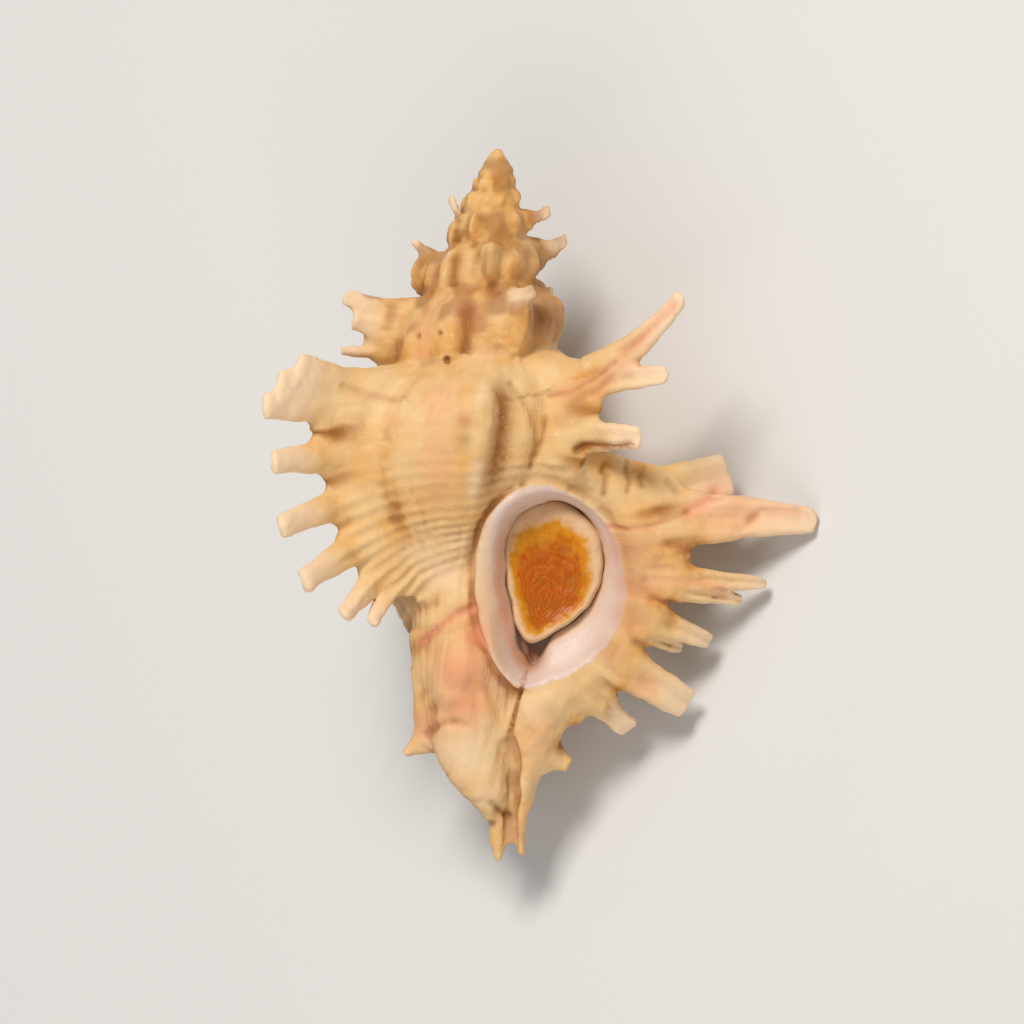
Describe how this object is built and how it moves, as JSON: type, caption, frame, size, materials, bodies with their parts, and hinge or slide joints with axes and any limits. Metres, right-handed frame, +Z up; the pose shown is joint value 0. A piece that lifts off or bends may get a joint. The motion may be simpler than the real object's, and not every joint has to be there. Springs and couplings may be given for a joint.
{
  "type": "murex shell",
  "caption": "Spiny right-coiled sea snail shell lying on its back, with rows of open spines and its horny trapdoor closing the mouth.",
  "frame": {"origin": "on the floor, under the middle of the box round the shell as it lies on its back", "axes": "+Y runs along the shell towards its pointed spire, +Z up from the floor, +X to the outer lip's side"},
  "size_m": [0.0426, 0.0588, 0.0333],
  "materials": {
    "shell": "satin, cream to orange, chalky on the spine tips and glossy white round the mouth",
    "operculum": "glossy amber horn with a cream rim"
  },
  "bodies": {
    "root": {"shell": "shell", "operculum": "operculum"}
  },
  "joints": []
}
